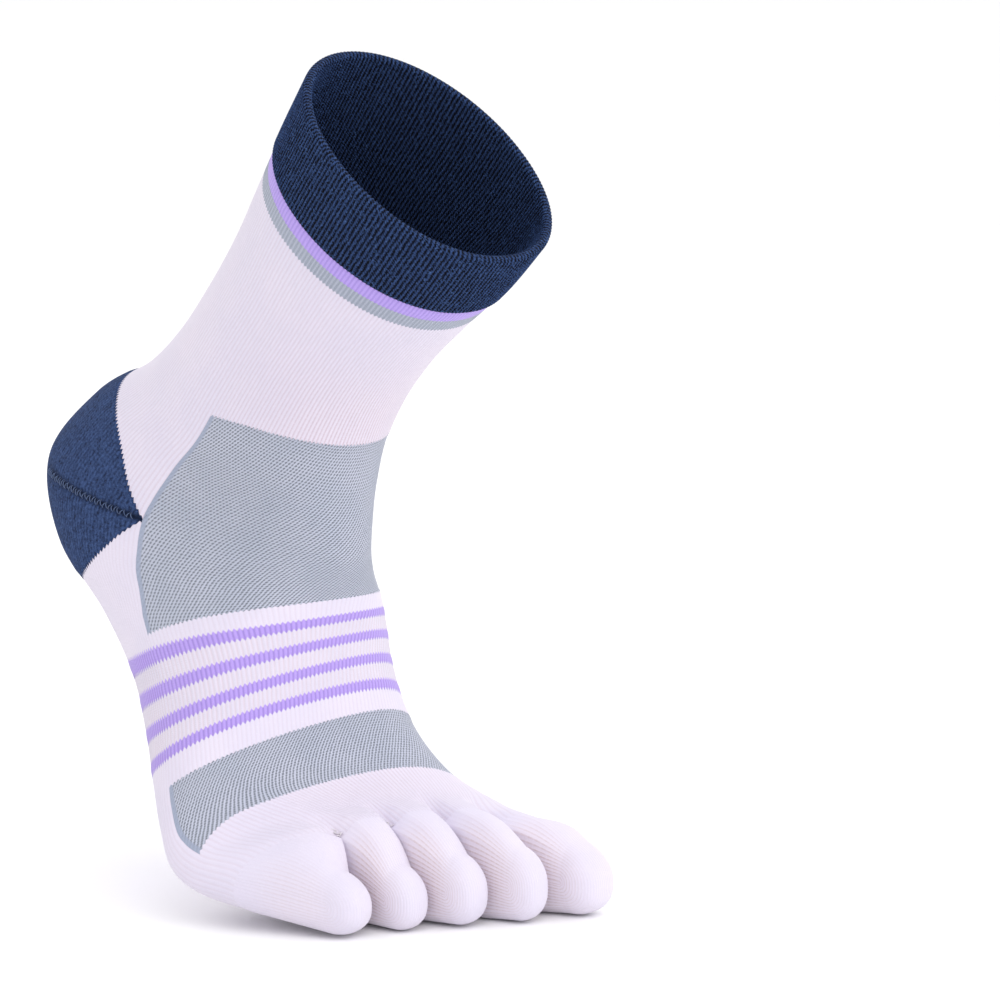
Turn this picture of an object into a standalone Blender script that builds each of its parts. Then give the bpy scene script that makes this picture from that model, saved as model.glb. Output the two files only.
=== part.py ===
"""Toe sock for a right foot, standing on tiptoe: ribbed cuff, leg, heel pocket, mesh panels, striped arch
band and five toe pockets. Metres, +Z up, +X towards the toes, +Y towards the big-toe side. The origin is
the middle of the cuff's mouth."""
import bmesh
import bpy
import numpy as np
from math import pi, radians

# Driving sizes
STANCE_HEIGHT = 0.2118      # floor to the middle of the mouth
STANCE_LENGTH = 0.184       # back of the heel to the tip of the longest toe, along X
BALL_WIDTH = 0.0997         # across the ball of the foot
SOCK_LENGTH = 0.265         # along the knitted tube, from the mouth's edge to the toe roots
CUFF_HEIGHT = 0.0235
VIOLET_BAND_HEIGHT = 0.0045
GREY_BAND_HEIGHT = 0.0045
STRIPE_HEIGHT = 0.0042      # one violet stripe of the arch band, along the middle of the tube
STRIPE_PITCH = 0.0109
STRIPES = 4

# Knitted walls
CUFF_WALL = 0.0020          # double welt
BAND_WALL = 0.0015
LEG_WALL = 0.0012
MESH_WALL = 0.0010
HEEL_WALL = 0.0018
SOLE_WALL = 0.0016
TOE_WALL = 0.0012
SEAM_GAP = 0.0003           # between neighbouring pieces
TOE_GAP = 0.0005            # between neighbouring toe pockets
TOE_ROOT_GAP = 0.0010       # from the toe roots to each pocket's rim

# The tube's cross-sections from the mouth to the toe roots. Station is a share of SOCK_LENGTH, x a share
# of STANCE_LENGTH ahead of the heel's back, z a share of STANCE_HEIGHT above the floor, widths are shares
# of BALL_WIDTH. Widest is how far up from the back or sole the tube is widest, squareness is the exponent
# of the back or sole half, slope lifts the big-toe side and skew pushes it forwards.
# station, front x, front z, back x, back z, medial, lateral, widest, squareness, slope, skew
SECTIONS = (
    (0.000, 0.976, 0.874, 0.647, 1.126, 0.349, 0.349, 0.50, 2.0, 0.00, 0.00),
    (0.068, 0.906, 0.818, 0.591, 1.056, 0.343, 0.343, 0.50, 2.0, 0.00, 0.00),
    (0.143, 0.821, 0.763, 0.531, 0.980, 0.321, 0.321, 0.50, 2.0, 0.00, 0.00),
    (0.219, 0.744, 0.708, 0.468, 0.900, 0.301, 0.301, 0.50, 2.0, 0.00, 0.00),
    (0.279, 0.692, 0.655, 0.402, 0.830, 0.290, 0.290, 0.48, 2.0, 0.00, 0.00),
    (0.332, 0.660, 0.601, 0.327, 0.763, 0.282, 0.282, 0.46, 2.0, 0.00, 0.00),
    (0.385, 0.649, 0.545, 0.236, 0.706, 0.275, 0.277, 0.45, 2.0, 0.00, 0.00),
    (0.442, 0.650, 0.497, 0.109, 0.655, 0.270, 0.277, 0.45, 2.1, 0.00, 0.00),
    (0.494, 0.650, 0.462, 0.002, 0.565, 0.280, 0.290, 0.45, 2.2, 0.00, 0.00),
    (0.547, 0.645, 0.436, 0.052, 0.456, 0.306, 0.330, 0.44, 2.3, 0.00, 0.00),
    (0.600, 0.638, 0.408, 0.197, 0.367, 0.328, 0.370, 0.43, 2.4, 0.02, 0.00),
    (0.657, 0.631, 0.370, 0.304, 0.286, 0.335, 0.402, 0.42, 2.5, 0.05, -0.01),
    (0.717, 0.629, 0.324, 0.361, 0.211, 0.340, 0.430, 0.42, 2.6, 0.08, -0.02),
    (0.777, 0.635, 0.275, 0.414, 0.141, 0.358, 0.465, 0.39, 2.6, 0.12, 0.02),
    (0.838, 0.644, 0.226, 0.488, 0.077, 0.402, 0.505, 0.35, 2.7, 0.15, 0.09),
    (0.891, 0.667, 0.186, 0.566, 0.024, 0.456, 0.525, 0.32, 2.8, 0.16, 0.19),
    (0.943, 0.715, 0.159, 0.655, 0.003, 0.498, 0.518, 0.31, 3.0, 0.145, 0.32),
    (1.000, 0.779, 0.138, 0.758, 0.003, 0.486, 0.470, 0.34, 3.0, 0.08, 0.43),
)
# The toes, from the small one to the big one. The tip is the middle of its round end, x and z as in
# SECTIONS, y and the half widths as shares of BALL_WIDTH.
# name, columns over the top, tip x, tip y, tip z, half width, half height
TOES = (
    ("little_toe", 5, 0.774, -0.281, 0.045, 0.076, 0.087),
    ("fourth_toe", 4, 0.809, -0.113, 0.044, 0.066, 0.090),
    ("third_toe", 4, 0.854, 0.034, 0.050, 0.067, 0.099),
    ("second_toe", 4, 0.900, 0.187, 0.052, 0.065, 0.104),
    ("big_toe", 5, 0.924, 0.370, 0.050, 0.085, 0.103),
)
CROTCHES = (-0.193, -0.060, 0.080, 0.210)   # across the toe roots, shares of BALL_WIDTH

TOP_EXPONENT = 2.1          # roundness of the front or instep half
TOE_SPREAD_STATION = 0.84   # from here the knit's columns spread towards their toes
LOBE_STATION = 0.945         # from here the toes begin to stand out
LOBE_HEIGHT = 0.0016
LOBE_UNDER = 0.4            # the lobes' depth under the sole, as a share of their height on top
LOBE_VALLEY = 1.8          # depth of the valleys between two toes, as a share of LOBE_HEIGHT
COLUMNS = 44                # facets round the tube: half over the instep, half under the sole
HALF = COLUMNS // 2
WEB_SEGMENTS = 3            # facets down each side wall between two toes
TOE_RINGS = 5               # rings from a toe's root to the middle of its tip
DOME_RINGS = (radians(28), radians(54), radians(74))
DOME_REACH = 1.15           # how far the tip stands ahead of its middle, in half widths
DOME_BLUNTNESS = 0.65       # exponents below 1 that keep a toe's end and cross-section full
TOE_FULLNESS = 0.80
TOE_MORPH = 1.0             # how late along a toe its root's shape gives way to the round one
TOE_ARCH = 0.0018           # how far a toe's top is raised halfway along
FLOOR_CLEARANCE = 0.0003    # the toe pads' height above the floor plane
SHARP_ANGLE = radians(50)   # facets that meet at more than this keep their edge

WHITE = (0.86, 0.82, 0.86)
GREY = (0.42, 0.46, 0.50)
NAVY = (0.09, 0.12, 0.19)
VIOLET = (0.55, 0.45, 0.80)


def hermite(rows, stations):
    """The table's rows carried smoothly to each station."""
    rows = np.asarray(rows, float)
    keys, values = rows[:, 0], rows[:, 1:]
    slopes = np.gradient(values, keys, axis=0)
    stations = np.atleast_1d(stations)
    i = np.clip(np.searchsorted(keys, stations) - 1, 0, len(keys) - 2)
    span = (keys[i + 1] - keys[i])[:, None]
    t = ((stations - keys[i])[:, None]) / span
    start = (2 * t**3 - 3 * t**2 + 1) * values[i] + (t**3 - 2 * t**2 + t) * span * slopes[i]
    end = (3 * t**2 - 2 * t**3) * values[i + 1] + (t**3 - t**2) * span * slopes[i + 1]
    return start + end


def smoothstep(low, high, value):
    t = np.clip((value - low) / (high - low), 0, 1)
    return t * t * (3 - 2 * t)


MOUTH_X = STANCE_LENGTH * (SECTIONS[0][1] + SECTIONS[0][3]) / 2


def side_point(x_share, z_share):
    """A point of the side view, in metres from the middle of the mouth."""
    return np.array([STANCE_LENGTH * x_share - MOUTH_X, STANCE_HEIGHT * (z_share - 1)])


def crotch_columns():
    """Column numbers of the four crotches on the top half."""
    return np.cumsum([toe[1] for toe in TOES])[:-1]


def arc_shares(height, across, marks, blend):
    """Shares of one half's arc for its columns: even, moving towards the toe crotches as blend goes to 1."""
    length = np.r_[0, np.cumsum(np.hypot(np.diff(height), np.diff(across)))]
    length /= length[-1]
    even = np.linspace(0, 1, HALF + 1)
    if blend <= 0:
        return length, even
    order = np.argsort(across)
    at_marks = np.interp(marks, across[order], length[order])
    columns = crotch_columns()
    if across[0] > across[-1]:
        columns = HALF - columns
    knots = np.r_[0, np.sort(columns), HALF]
    target = np.interp(np.arange(HALF + 1), knots, np.r_[0, np.sort(at_marks), 1])
    return length, even * (1 - blend) + target * blend


def half_ring(front, back, medial, lateral, widest, squareness, slope, top, blend):
    """Heights above the back point and offsets across for one half of a cross-section."""
    low, high = (0, pi) if top else (pi, 2 * pi)
    angle = np.linspace(low, high, 241)
    depth = np.linalg.norm(front - back)
    level = depth * widest
    exponent = TOP_EXPONENT if top else squareness
    reach = (depth - level) if top else level
    rise = np.abs(np.sin(angle)) ** (2 / exponent)
    run = -np.cos(angle)
    run = np.sign(run) * np.abs(run) ** (2 / exponent)
    across = np.where(run > 0, medial, lateral) * run
    height = level + (reach if top else -reach) * rise
    if top:
        height = height + slope * across * rise
    length, shares = arc_shares(height, across, np.array(CROTCHES) * BALL_WIDTH, blend)
    return np.interp(shares, length, height), np.interp(shares, length, across)


def ring(station):
    """Points round the tube at a station: lateral side, instep, medial side, sole."""
    row = hermite(SECTIONS, station)[0]
    front, back = side_point(row[0], row[1]), side_point(row[2], row[3])
    medial, lateral = row[4] * BALL_WIDTH, row[5] * BALL_WIDTH
    widest, squareness, slope, skew = row[6:]
    up = (front - back) / np.linalg.norm(front - back)
    forward = np.array([up[1], -up[0]])
    blend = smoothstep(TOE_SPREAD_STATION, 1.0, station)
    points = []
    for top in (True, False):
        height, across = half_ring(front, back, medial, lateral, widest, squareness, slope, top, blend)
        if not top:
            across[0], across[-1] = medial, -lateral
        lobe = lobe_profile(top) * smoothstep(LOBE_STATION, 1.0, station)
        height = height + (lobe if top else -LOBE_UNDER * lobe)
        xz = back + np.outer(height, up) + np.outer(skew * across, forward)
        points.append(np.stack([xz[:, 0], across, xz[:, 1]], 1)[:-1])
    return np.vstack(points)


def lobe_profile(top):
    """How far each column of one half stands out of the smooth section at the toe roots."""
    lobe = []
    counts = [toe[1] for toe in TOES]
    for count in counts if top else counts[::-1]:
        share = np.arange(count) / count
        lobe.extend(np.sin(pi * share))
    lobe.append(0.0)
    lobe = np.array(lobe)
    valley = lobe < 0.01
    valley[[0, -1]] = False
    return LOBE_HEIGHT * np.where(valley, lobe - LOBE_VALLEY, lobe)


class Surface:
    """The sock's outer face from mouth to toe roots, read by station and column."""

    STEPS = 360

    def __init__(self):
        stations = np.linspace(0, 1, self.STEPS + 1)
        self.table = np.array([ring(station) for station in stations])

    def point(self, station, column):
        row = np.clip(station, 0, 1) * self.STEPS
        low = min(int(row), self.STEPS - 1)
        left = int(np.floor(column))
        down, across = row - low, column - left
        corners = self.table[low:low + 2, [left % COLUMNS, (left + 1) % COLUMNS]]
        upper = corners[0, 0] * (1 - across) + corners[0, 1] * across
        lower = corners[1, 0] * (1 - across) + corners[1, 1] * across
        return upper * (1 - down) + lower * down

    def slopes(self, station, column):
        """Change of the point for a whole unit of station and of column."""
        step, turn = 0.004, 0.5
        low, high = max(station - step, 0), min(station + step, 1)
        along = (self.point(high, column) - self.point(low, column)) / (high - low)
        around = self.point(station, column + turn) - self.point(station, column - turn)
        return along, around

    def normal(self, station, column):
        along, around = self.slopes(station, column)
        outward = np.cross(along, around)
        return outward / np.linalg.norm(outward)


# The knit's borders, in stations (shares of SOCK_LENGTH) and columns
VIOLET_TOP = CUFF_HEIGHT / SOCK_LENGTH
GREY_TOP = VIOLET_TOP + VIOLET_BAND_HEIGHT / SOCK_LENGTH
LEG_TOP = GREY_TOP + GREY_BAND_HEIGHT / SOCK_LENGTH
MESH_TOP_SIDE = 0.350
MESH_TOP_MIDDLE = 0.317
HEEL_TURN = 0.500           # the heel seam
HEEL_TOP = 0.407
HEEL_BOTTOM = 0.581
HEEL_END = 0.012            # stations over the heel pocket's blunt ends beside the mesh
MESH_BOTTOM_SIDE = 0.621
MESH_BOTTOM_MIDDLE = 0.593
FIRST_STRIPE = 0.635
STRIPE_SAG = (0.016, 0.009, 0.005, 0.004)   # how much further on each stripe runs round the sides and sole
TOE_MESH_TOP = 0.802
TOE_MESH_BOTTOM = 0.897
COURSE_TILT = 0.006         # the forefoot's courses lie further back on the big-toe side
MESH_CORNER = 0.036         # the toe mesh's corner on the little-toe side
BACK = 3 * COLUMNS // 4     # column down the middle of the back and sole
FRONT = COLUMNS // 4
# Where the mesh panels' side edges run: station, columns in from the side of the foot
MESH_EDGE = (
    (0.30, 1.5), (0.48, 1.5), (0.53, 1.25), (0.57, 0.8), (0.60, 0.2), (0.62, 0.1), (0.80, 0.5), (0.90, 0.8),
)
LEG_ROWS = (0.3, 0.65)      # extra rows of facets down the leg, as shares of the way to the mesh
HEEL_ROWS = 6               # rows of facets down the heel pocket
HEEL_TOP_ROUNDING = 2.6     # exponents of the heel pocket's two curved borders
HEEL_BOTTOM_ROUNDING = 3.4
ANKLE_SPREAD = 0.15         # stations that the heel's rows cover over the middle of the instep
ANKLE_ROUNDING = 4          # exponent with which they open out towards it
TOE_BOX_ROWS = 4            # rows of facets between the toe mesh and the toe roots


def back_distance(column):
    """Columns from the middle of the back, as a share of the way to the mesh edge."""
    away = abs((column - BACK + HALF) % COLUMNS - HALF)
    return min(away / (FRONT + 1), 1)


def front_distance(column):
    """Share of the way from the middle of the instep to the mesh edge, 0 to 1."""
    return min(abs(column - FRONT) / (FRONT - 1), 1)


def course_tilt(column):
    return COURSE_TILT * np.cos(2 * pi * column / COLUMNS)


def is_instep(column):
    return 1 <= column % COLUMNS <= HALF - 1


def mesh_top(column):
    if not is_instep(column):
        return MESH_TOP_SIDE - 0.5 * (MESH_TOP_SIDE - MESH_TOP_MIDDLE) * (1 - back_distance(column))
    return MESH_TOP_SIDE - (MESH_TOP_SIDE - MESH_TOP_MIDDLE) * (1 - front_distance(column) ** 2)


def heel_row(column, share):
    """Station of a heel row: share runs from 0 at the heel's top border over 0.5 at its seam to 1."""
    side = back_distance(column)
    top = HEEL_TURN - (HEEL_TURN - HEEL_TOP) * (1 - side ** HEEL_TOP_ROUNDING)
    bottom = HEEL_TURN + (HEEL_BOTTOM - HEEL_TURN) * (1 - side ** HEEL_BOTTOM_ROUNDING)
    top = min(top, HEEL_TURN - HEEL_END / 2)
    bottom = max(bottom, HEEL_TURN + HEEL_END / 2)
    reach = (HEEL_TURN - top) if share < 0.5 else (bottom - HEEL_TURN)
    station = HEEL_TURN + reach * (share * 2 - 1)
    if not is_instep(column):
        return station
    even = HEEL_TURN + (share - 0.5) * ANKLE_SPREAD
    return even + (station - even) * front_distance(column) ** ANKLE_ROUNDING


def mesh_bottom(column):
    if not is_instep(column):
        return MESH_BOTTOM_SIDE
    return MESH_BOTTOM_SIDE - (MESH_BOTTOM_SIDE - MESH_BOTTOM_MIDDLE) * (1 - front_distance(column) ** 2)


def heel_top(column):
    return heel_row(column, 0)


def heel_bottom(column):
    return heel_row(column, 1)


def sole_share(column):
    """0 over the instep to 1 from the foot's sides downwards."""
    away = abs((column - FRONT + HALF) % COLUMNS - HALF)
    return smoothstep(0.5 * FRONT, 1.3 * FRONT, away)


def stripe_course(number, offset):
    """A course near one of the stripes, offset from its middle."""
    middle = FIRST_STRIPE + number * STRIPE_PITCH / SOCK_LENGTH + offset
    return lambda column: middle + STRIPE_SAG[number] * sole_share(column)


def toe_mesh_top(column):
    return TOE_MESH_TOP + course_tilt(column)


def toe_mesh_bottom(column):
    corner = max(1 - abs(column - 1) / 3, 0) ** 2 if column < FRONT else 0
    return TOE_MESH_BOTTOM + course_tilt(column) + MESH_CORNER * corner


def between(first, last, share):
    return lambda column: first(column) * (1 - share) + last(column) * share


def level(station):
    return lambda column: station


def heel_course(share):
    return lambda column: heel_row(column, share)


def course_rows():
    """Station of every row of facets as a function of the column, with the named borders' row numbers."""
    rows, named = [], {}

    def add(name, row):
        named[name] = len(rows)
        rows.append(row)

    add("mouth", level(0))
    add("cuff_1", level(VIOLET_TOP / 2))
    add("violet", level(VIOLET_TOP))
    add("grey", level(GREY_TOP))
    add("leg", level(LEG_TOP))
    for number, share in enumerate(LEG_ROWS):
        add(f"leg_{number}", between(level(LEG_TOP), mesh_top, share))
    add("mesh_top", mesh_top)
    add("ankle", between(mesh_top, heel_top, 0.5))
    for number in range(HEEL_ROWS + 1):
        add(f"heel_{number}", heel_course(number / HEEL_ROWS))
    add("sole", between(heel_bottom, mesh_bottom, 0.5))
    add("mesh_bottom", mesh_bottom)
    half = STRIPE_HEIGHT / SOCK_LENGTH / 2
    for number in range(STRIPES):
        add(f"stripe_{number}", stripe_course(number, -half))
        add(f"stripe_{number}_end", stripe_course(number, half))
    add("toe_mesh", toe_mesh_top)
    add("toe_mesh_1", between(toe_mesh_top, toe_mesh_bottom, 0.5))
    add("toe_mesh_bottom", toe_mesh_bottom)
    for number in range(1, TOE_BOX_ROWS):
        add(f"toe_box_{number}", between(toe_mesh_bottom, level(1), number / TOE_BOX_ROWS))
    add("toe_roots", level(1))
    return rows, named


def facet_column(column, station):
    """Column of a facet corner: the columns beside the mesh follow its curved side edge."""
    if not is_instep(column):
        return column
    edge = np.interp(station, [row[0] for row in MESH_EDGE], [row[1] for row in MESH_EDGE])
    side = FRONT - (FRONT - edge) * abs(column - FRONT) / (FRONT - 1)
    return side if column < FRONT else HALF - side


class Knit:
    """Facets of the whole tube, from which each piece takes its own cells as a hollow wall."""

    def __init__(self):
        self.surface = Surface()
        self.rows, self.named = course_rows()

    def corner(self, row, column, away_row, away_column, wall):
        """Outer and inner point of a facet corner, drawn back half a seam gap from the piece's border."""
        station = self.rows[row](column % COLUMNS)
        turn = facet_column(column % COLUMNS, station)
        along, around = self.surface.slopes(station, turn)
        station += away_row * SEAM_GAP / 2 / np.linalg.norm(along)
        turn += away_column * SEAM_GAP / 2 / np.linalg.norm(around)
        outer = self.surface.point(station, turn)
        return outer, outer - wall * self.surface.normal(station, turn)

    def piece(self, cells, wall):
        """Vertices and faces of the closed wall over a set of (row, column) cells."""
        corners = {}
        for row, column in cells:
            for down, right in ((0, 0), (0, 1), (1, 0), (1, 1)):
                key = (row + down, (column + right) % COLUMNS)
                counts = corners.setdefault(key, [0, 0])
                counts[0] += 1 if down == 0 else -1
                counts[1] += 1 if right == 0 else -1
        vertices, index = [], {}
        for key, (rows, columns) in corners.items():
            index[key] = len(vertices)
            vertices.extend(self.corner(key[0], key[1], np.sign(rows), np.sign(columns), wall))
        faces = []
        for row, column in cells:
            right = (column + 1) % COLUMNS
            loop = [index[row, column], index[row, right], index[row + 1, right], index[row + 1, column]]
            faces.append(loop)
            faces.append([corner + 1 for corner in reversed(loop)])
            sides = (((row - 1, column), 0, 1), ((row, right), 1, 2),
                     ((row + 1, column), 2, 3), ((row, (column - 1) % COLUMNS), 3, 0))
            for neighbour, first, last in sides:
                if neighbour not in cells:
                    faces.append([loop[last], loop[first], loop[first] + 1, loop[last] + 1])
        return vertices, faces

    def band(self, first, last, columns=range(COLUMNS)):
        """Cells between two named rows over some columns."""
        rows = range(self.named[first], self.named[last])
        return {(row, column % COLUMNS) for row in rows for column in columns}


INSTEP = range(1, HALF - 1)             # cells between the mesh panels' side edges
SOLE = range(HALF - 1, COLUMNS + 1)     # cells round the back and sole between the same edges


def toe_root(surface, number, ahead=TOE_ROOT_GAP):
    """The ring where a toe pocket leaves the tube, and the side walls that it turns to its neighbours."""
    counts = [toe[1] for toe in TOES]
    start = sum(counts[:number])
    end = start + counts[number]
    last_ring, earlier = surface.table[-1], surface.table[-4]
    forward = last_ring - earlier
    forward /= np.linalg.norm(forward, axis=1)[:, None]
    base = last_ring + forward * ahead

    def wall(from_column, to_column, inward):
        shares = np.linspace(0, 1, WEB_SEGMENTS + 1)[1:-1, None]
        line = base[from_column] * (1 - shares) + base[to_column] * shares
        return line + np.array([0, inward * TOE_GAP / 2, 0])

    top = base[start:end + 1].copy()
    under = base[[column % COLUMNS for column in range(COLUMNS - end, COLUMNS - start + 1)]].copy()
    if number > 0:
        top[0, 1] += TOE_GAP / 2
        under[-1, 1] += TOE_GAP / 2
    if number < len(TOES) - 1:
        top[-1, 1] -= TOE_GAP / 2
        under[0, 1] -= TOE_GAP / 2
    if number == 0:
        return np.vstack([top, wall(end, COLUMNS - end, -1), under[:-1]])
    if number == len(TOES) - 1:
        return np.vstack([top, under[1:], wall(COLUMNS - start, start, 1)])
    return np.vstack([top, wall(end, COLUMNS - end, -1), under, wall(COLUMNS - start, start, 1)])


def toe_rings(surface, number):
    """Rings of a toe pocket from its root to the last one before the tip, and the tip's point."""
    tip_x, tip_y, tip_z, half_width, half_height = TOES[number][2:]
    root = toe_root(surface, number)
    middle = (root.min(0) + root.max(0)) / 2
    tip_side = side_point(tip_x, tip_z)
    tip = np.array([tip_side[0], tip_y * BALL_WIDTH, tip_side[1]])
    ahead = (tip - middle) * np.array([1, 1, 0])
    ahead /= np.linalg.norm(ahead)
    side, up = np.array([-ahead[1], ahead[0], 0]), np.array([0, 0, 1.0])
    width, height = half_width * BALL_WIDTH, half_height * BALL_WIDTH
    across, above = (root - middle) @ side, (root - middle) @ up
    angle = np.arctan2(above / np.ptp(above), across / np.ptp(across))
    run = np.sign(np.cos(angle)) * np.abs(np.cos(angle)) ** TOE_FULLNESS
    rise = np.sign(np.sin(angle)) * np.abs(np.sin(angle)) ** TOE_FULLNESS
    round_shape = np.outer(run * width, side) + np.outer(rise * height, up)
    rings = []
    for share in np.linspace(0, 1, TOE_RINGS):
        turn = share ** TOE_MORPH
        arch = TOE_ARCH * np.sin(pi * share) * np.maximum(np.sin(angle), 0) ** 0.5
        rings.append(middle + (tip - middle) * share + (root - middle) * (1 - turn) + round_shape * turn
                     + arch[:, None] * up)
    dome = DOME_REACH * width
    for lift in DOME_RINGS:
        rings.append(tip + ahead * dome * np.sin(lift) + round_shape * np.cos(lift) ** DOME_BLUNTNESS)
    rings = np.array(rings)
    floor = FLOOR_CLEARANCE - STANCE_HEIGHT
    rings[..., 2] = np.maximum(rings[..., 2], floor)
    return rings, tip + ahead * dome


def toe_pocket(surface, number):
    """Vertices and faces of one toe pocket, open at its root."""
    rings, point = toe_rings(surface, number)
    along = np.gradient(rings, axis=0)
    around = np.roll(rings, -1, 1) - np.roll(rings, 1, 1)
    normals = np.cross(along, around)
    leaving = toe_root(surface, number, SEAM_GAP) - toe_root(surface, number, 0)
    leaving /= np.linalg.norm(leaving, axis=1)[:, None]
    normals[0] -= (normals[0] * leaving).sum(1)[:, None] * leaving
    normals /= np.linalg.norm(normals, axis=-1)[..., None]
    middle = rings.mean(1, keepdims=True)
    outward = np.sign(((rings - middle) * normals).sum(-1).mean())
    inner = rings - outward * normals * TOE_WALL
    ahead = point - rings[-1].mean(0)
    ahead /= np.linalg.norm(ahead)
    levels, count = rings.shape[:2]
    vertices = [*rings.reshape(-1, 3), *inner.reshape(-1, 3), point, point - ahead * TOE_WALL]
    inside, poles = levels * count, 2 * levels * count
    faces = []
    for row in range(levels - 1):
        for column in range(count):
            right = (column + 1) % count
            near, far = row * count, (row + 1) * count
            loop = [near + column, near + right, far + right, far + column]
            faces.append(loop)
            faces.append([inside + corner for corner in reversed(loop)])
    last = (levels - 1) * count
    for column in range(count):
        right = (column + 1) % count
        faces.append([last + column, last + right, poles])
        faces.append([inside + last + right, inside + last + column, poles + 1])
        faces.append([right, column, inside + column, inside + right])
    return vertices, faces


def material(name, colour, roughness):
    made = bpy.data.materials.new(name)
    made.use_nodes = True
    shader = made.node_tree.nodes["Principled BSDF"]
    shader.inputs["Base Color"].default_value = (*colour, 1)
    shader.inputs["Roughness"].default_value = roughness
    shader.inputs["Metallic"].default_value = 0
    return made


def add_object(name, shape, colour, roughness=0.9):
    vertices, faces = shape
    mesh = bpy.data.meshes.new(name)
    mesh.from_pydata([tuple(map(float, vertex)) for vertex in vertices], [], faces)
    shaped = bmesh.new()
    shaped.from_mesh(mesh)
    bmesh.ops.recalc_face_normals(shaped, faces=shaped.faces)
    shaped.to_mesh(mesh)
    shaped.free()
    mesh.shade_smooth()
    mesh.set_sharp_from_angle(angle=SHARP_ANGLE)
    mesh.materials.append(material(name, colour, roughness))
    made = bpy.data.objects.new(name, mesh)
    bpy.context.scene.collection.objects.link(made)


def clear_scene():
    for old in list(bpy.data.objects):
        bpy.data.objects.remove(old)


def build_cuff(knit):
    add_object("cuff", knit.piece(knit.band("mouth", "violet"), CUFF_WALL), NAVY)
    add_object("cuff_violet_band", knit.piece(knit.band("violet", "grey"), BAND_WALL), VIOLET)
    add_object("cuff_grey_band", knit.piece(knit.band("grey", "leg"), BAND_WALL), GREY)


def build_leg_and_heel(knit):
    heel_end = f"heel_{HEEL_ROWS}"
    leg = knit.band("leg", "mesh_top") | knit.band("mesh_top", "heel_0", SOLE)
    add_object("leg", knit.piece(leg, LEG_WALL), WHITE)
    add_object("heel", knit.piece(knit.band("heel_0", heel_end, SOLE), HEEL_WALL), NAVY)
    add_object("instep_mesh", knit.piece(knit.band("mesh_top", "mesh_bottom", INSTEP), MESH_WALL), GREY)
    sole = knit.band(heel_end, "mesh_bottom", SOLE) | knit.band("mesh_bottom", "stripe_0")
    add_object("sole", knit.piece(sole, SOLE_WALL), WHITE)


def build_arch_band(knit):
    for number in range(STRIPES):
        stripe = knit.band(f"stripe_{number}", f"stripe_{number}_end")
        add_object(f"arch_stripe_{number + 1}", knit.piece(stripe, BAND_WALL), VIOLET)
    for number in range(STRIPES - 1):
        white = knit.band(f"stripe_{number}_end", f"stripe_{number + 1}")
        add_object(f"arch_band_{number + 1}", knit.piece(white, BAND_WALL), WHITE)


def build_forefoot(knit):
    last_stripe = f"stripe_{STRIPES - 1}_end"
    mesh = knit.band("toe_mesh", "toe_mesh_bottom", INSTEP)
    forefoot = knit.band(last_stripe, "toe_roots") - mesh
    add_object("forefoot", knit.piece(forefoot, TOE_WALL), WHITE)
    add_object("forefoot_mesh", knit.piece(mesh, MESH_WALL), GREY)


def build_toes(knit):
    for number, toe in enumerate(TOES):
        add_object(toe[0], toe_pocket(knit.surface, number), WHITE)


def main():
    clear_scene()
    knit = Knit()
    build_cuff(knit)
    build_leg_and_heel(knit)
    build_arch_band(knit)
    build_forefoot(knit)
    build_toes(knit)


main()
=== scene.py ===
"""Looks of the toe sock: the knitted skin of every part, its seams and stitches, floor, lights and camera.
Metres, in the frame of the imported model: +Z up, +X towards the toes, +Y towards the big-toe side, origin at
the middle of the cuff's mouth."""
from math import cos, pi, radians, sin

import bpy
import numpy as np
from mathutils import Matrix, Vector

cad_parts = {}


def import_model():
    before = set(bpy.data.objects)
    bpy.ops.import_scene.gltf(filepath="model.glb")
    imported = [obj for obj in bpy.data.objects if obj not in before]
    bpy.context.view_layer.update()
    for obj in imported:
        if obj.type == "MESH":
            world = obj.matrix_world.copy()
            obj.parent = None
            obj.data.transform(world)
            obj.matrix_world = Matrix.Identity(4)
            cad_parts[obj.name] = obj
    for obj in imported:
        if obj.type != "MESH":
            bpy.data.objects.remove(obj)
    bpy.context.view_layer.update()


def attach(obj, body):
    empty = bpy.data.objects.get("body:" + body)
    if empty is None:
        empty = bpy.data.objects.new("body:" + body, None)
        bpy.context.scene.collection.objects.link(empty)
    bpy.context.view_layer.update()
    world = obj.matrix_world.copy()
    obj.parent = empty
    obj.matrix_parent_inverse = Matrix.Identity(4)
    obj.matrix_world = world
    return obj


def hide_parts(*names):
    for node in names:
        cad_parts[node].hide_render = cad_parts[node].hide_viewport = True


# Sizes of the sock
STANCE_HEIGHT = 0.2118
STANCE_LENGTH = 0.184
BALL_WIDTH = 0.0997
SOCK_LENGTH = 0.265
CUFF_HEIGHT = 0.0235
VIOLET_BAND_HEIGHT = 0.0045
GREY_BAND_HEIGHT = 0.0045
STRIPE_HEIGHT = 0.0042
STRIPE_PITCH = 0.0109
STRIPES = 4
CUFF_WALL = 0.0020
BAND_WALL = 0.0015
LEG_WALL = 0.0012
MESH_WALL = 0.0010
HEEL_WALL = 0.0018
SOLE_WALL = 0.0016
TOE_WALL = 0.0012

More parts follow.
